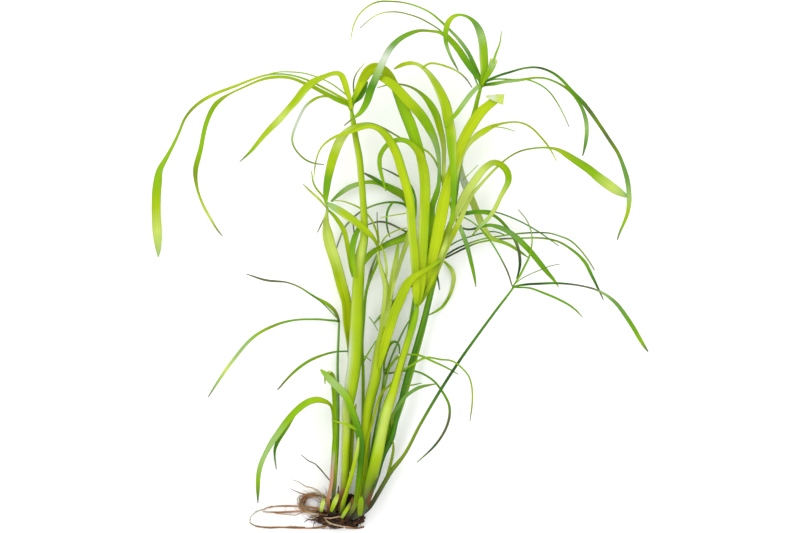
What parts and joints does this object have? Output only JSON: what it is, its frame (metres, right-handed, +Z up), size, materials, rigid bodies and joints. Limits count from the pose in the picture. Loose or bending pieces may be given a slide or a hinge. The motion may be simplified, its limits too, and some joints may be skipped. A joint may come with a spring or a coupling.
{
  "type": "bare-root umbrella sedge",
  "caption": "Bare-root umbrella sedge lying on its back: slender culms rise from a knobbly rootstock with trailing roots and end in heads of long arching grass-like leaves.",
  "frame": {"origin": "centre of the underside of the bounding box, on the surface that the plant lies on", "axes": "+Z up, away from the surface; +Y along the plant, from its rootstock to its leaf heads; +X to the right when seen from above with the leaf heads at the top"},
  "size_m": [0.4982, 0.5298, 0.0644],
  "materials": {
    "root_brown": "matte",
    "leaf_green": "satin",
    "leaf_dark": "satin",
    "leaf_blue": "satin",
    "leaf_lime": "satin",
    "leaf_olive": "satin",
    "leaf_pale": "satin",
    "dry_sheath": "matte"
  },
  "bodies": {
    "root": {"rootstock": "root_brown", "culm_hidden_middle": "leaf_green", "leaf_lower_left": "leaf_dark", "leaf_upper_left": "leaf_blue", "culm_hidden_right": "leaf_dark", "leaf_right_hook": "leaf_dark", "leaf_right_long": "leaf_blue", "leaf_right_long_upper": "leaf_dark", "culm_short_back": "leaf_dark", "culm_thin_back": "leaf_dark", "leaf_broad_left": "leaf_lime", "culm_thin_left": "leaf_blue", "leaf_left_low": "leaf_dark", "leaf_left_upper": "leaf_dark", "leaf_left_middle": "leaf_green", "leaf_short_back": "leaf_olive", "leaf_right_pale": "leaf_pale", "culm_tall": "leaf_dark", "culm_dark": "leaf_dark", "leaf_fan_arch": "leaf_dark", "leaf_fan_broad": "leaf_dark", "leaf_fan_down": "leaf_blue", "leaf_fan_upper": "leaf_green", "culm_slanting": "leaf_olive", "leaf_side_short": "leaf_green", "leaf_side_long": "leaf_dark", "culm_middle": "leaf_lime", "leaf_lime_long": "leaf_lime", "culm_bright": "leaf_lime", "leaf_head_grey": "leaf_blue", "culm_left": "leaf_lime", "leaf_over_culm": "leaf_lime", "leaf_head_inner": "leaf_green", "leaf_head_long": "leaf_lime", "leaf_root_inner": "leaf_green", "leaf_root_arch": "leaf_green", "leaf_dried_sheath": "dry_sheath", "leaf_shoot": "leaf_lime", "shoot_young": "leaf_lime", "leaf_right_sweep": "leaf_green", "leaf_right_hairpin": "leaf_lime", "leaf_across_left": "leaf_green", "leaf_crown_back": "leaf_green", "leaf_head_dark": "leaf_green", "leaf_head_right": "leaf_lime", "leaf_crown_arch": "leaf_lime", "leaf_crown_folded": "leaf_lime", "leaf_crown_tall": "leaf_green", "leaf_crown_front": "leaf_lime", "leaf_head_front": "leaf_lime", "leaf_crown_left": "leaf_lime", "leaf_middle_bright": "leaf_lime", "leaf_top_right_inner": "leaf_dark", "leaf_top_right_long": "leaf_dark", "leaf_top_outer": "leaf_dark", "leaf_top_long": "leaf_green", "leaf_top_loop": "leaf_dark", "leaf_top_stub": "leaf_pale", "leaf_top_down": "leaf_pale"}
  },
  "joints": []
}
